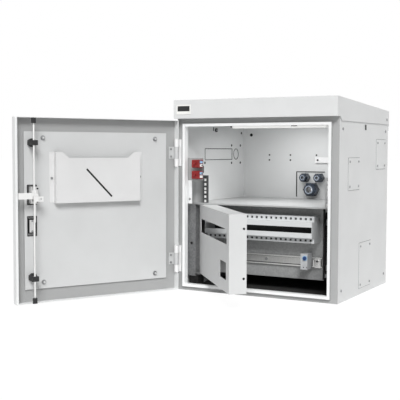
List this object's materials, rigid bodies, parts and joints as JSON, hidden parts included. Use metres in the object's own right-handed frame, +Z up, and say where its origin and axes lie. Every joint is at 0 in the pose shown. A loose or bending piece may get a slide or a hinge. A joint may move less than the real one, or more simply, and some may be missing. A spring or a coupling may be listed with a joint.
{
  "type": "roadside utility cabinet",
  "caption": "Open steel roadside cabinet: sloping rain hood, swinging door with three-point lock and pocket, shelf, rack rails, hinged inner cover over a rail board.",
  "frame": {"origin": "centre of the body's underside, door not counted", "axes": "+Z up, +Y from the mouth to the rear wall, +X to the right seen from the front"},
  "size_m": [0.8994, 1.0829, 0.671],
  "materials": {
    "powder_coat": "fine-textured light grey powder coat",
    "galvanised_sheet": "galvanised sheet",
    "carrier_sheet": "satin",
    "zinc_plated_steel": "bright zinc plate",
    "hinge_zinc": "powder coat on die-cast zinc",
    "black_plastic": "moulded",
    "black_handle": "satin black powder coat",
    "rubber_mat": "matt",
    "black_rubber": "matt",
    "gland_plastic": "moulded",
    "red_plastic": "moulded",
    "button_plastic": "moulded",
    "lamp_plastic": "opal",
    "control_plastic": "moulded",
    "dial_plastic": "moulded"
  },
  "bodies": {
    "cabinet": {"front_frame": "powder_coat", "left_side_panel": "powder_coat", "right_side_panel": "powder_coat", "rear_panel": "powder_coat", "floor_panel": "powder_coat", "roof_panel": "powder_coat", "rain_hood": "powder_coat", "panel_screws": "zinc_plated_steel", "right_side_covers": "powder_coat", "left_side_cover": "powder_coat", "gland_gasket": "black_rubber", "gland_plate": "powder_coat", "gland_bodies": "gland_plastic", "gland_caps": "gland_plastic", "gland_locknuts": "gland_plastic", "tie_bar": "galvanised_sheet", "shelf": "powder_coat", "rack_rails": "galvanised_sheet", "lamp_bar": "lamp_plastic", "lamp_plug": "black_plastic", "contact_bracket": "powder_coat", "door_contacts": "red_plastic", "contact_leads": "black_rubber", "cable_clip": "black_plastic", "mounting_board": "galvanised_sheet", "board_arms": "galvanised_sheet", "device_carrier": "carrier_sheet", "carrier_ends": "carrier_sheet", "din_rail": "zinc_plated_steel", "din_screws": "zinc_plated_steel", "temperature_control": "control_plastic", "end_clamp": "zinc_plated_steel", "floor_mat": "rubber_mat", "foam_block": "rubber_mat", "cover_posts": "galvanised_sheet", "cover_pins": "zinc_plated_steel", "hinge_posts": "hinge_zinc", "hinge_pins": "zinc_plated_steel"},
    "rocker": {"lamp_rocker": "black_plastic"},
    "upper_button": {"upper_contact_button": "button_plastic"},
    "lower_button": {"lower_contact_button": "button_plastic"},
    "dial": {"control_dial": "dial_plastic"},
    "cover": {"inner_cover": "powder_coat"},
    "door": {"door_leaves": "hinge_zinc", "door_screws": "zinc_plated_steel", "door_pan": "powder_coat", "lining_panel": "powder_coat", "lining_nuts": "zinc_plated_steel", "document_pocket": "powder_coat", "rod_guides": "black_plastic", "lock_case": "zinc_plated_steel", "handle_dish": "black_handle"},
    "cam": {"lock_cam": "zinc_plated_steel", "lock_spindle": "zinc_plated_steel"},
    "handle": {"handle_grip": "black_handle"},
    "top_rod": {"upper_rod": "zinc_plated_steel", "upper_rod_tip": "black_plastic"},
    "bottom_rod": {"lower_rod": "zinc_plated_steel", "lower_rod_tip": "black_plastic"}
  },
  "joints": [
    {"name": "door_swing", "type": "hinge", "parent": "cabinet", "child": "door", "pos_m": [-0.298, -0.2745, 0.3], "axis": [0, 0, 1], "range_deg": [-5, 118.5]},
    {"name": "cover_swing", "type": "hinge", "parent": "cabinet", "child": "cover", "pos_m": [-0.235, -0.202, 0.17], "axis": [0, 0, 1], "range_deg": [-3, 49.51]},
    {"name": "handle_turn", "type": "hinge", "parent": "door", "child": "cam", "pos_m": [-0.54054, -0.75159, 0.35], "axis": [0.8788, -0.4772, 0], "range_deg": [0, 90]},
    {"name": "handle_lift", "type": "hinge", "parent": "cam", "child": "handle", "pos_m": [-0.58298, -0.72854, 0.35], "axis": [0.4772, 0.8788, 0], "range_deg": [0, 35]},
    {"name": "upper_rod_slide", "type": "slide", "parent": "door", "child": "top_rod", "axis": [0, 0, -1], "range_m": [0, 0.0201]},
    {"name": "lower_rod_slide", "type": "slide", "parent": "door", "child": "bottom_rod", "axis": [0, 0, 1], "range_m": [0, 0.0201]},
    {"name": "lamp_rocker_tilt", "type": "hinge", "parent": "cabinet", "child": "rocker", "pos_m": [0.1325, -0.2315, 0.582], "axis": [1, 0, 0], "range_deg": [0, 16]},
    {"name": "control_dial_turn", "type": "hinge", "parent": "cabinet", "child": "dial", "pos_m": [0.1445, -0.162, 0.1283], "axis": [0, -1, 0], "range_deg": [-135, 135]},
    {"name": "upper_contact_press", "type": "slide", "parent": "cabinet", "child": "upper_button", "axis": [0, 1, 0], "range_m": [0, 0.003], "stiffness_N_per_m": 200, "springref_m": -0.002},
    {"name": "lower_contact_press", "type": "slide", "parent": "cabinet", "child": "lower_button", "axis": [0, 1, 0], "range_m": [0, 0.003], "stiffness_N_per_m": 200, "springref_m": -0.002}
  ],
  "couplings": [
    {"joint": "cover_swing", "follows": "door_swing", "ratio": 0.41772},
    {"joint": "upper_rod_slide", "follows": "handle_turn", "m_per_rad": 0.012732},
    {"joint": "lower_rod_slide", "follows": "handle_turn", "m_per_rad": 0.012732}
  ]
}
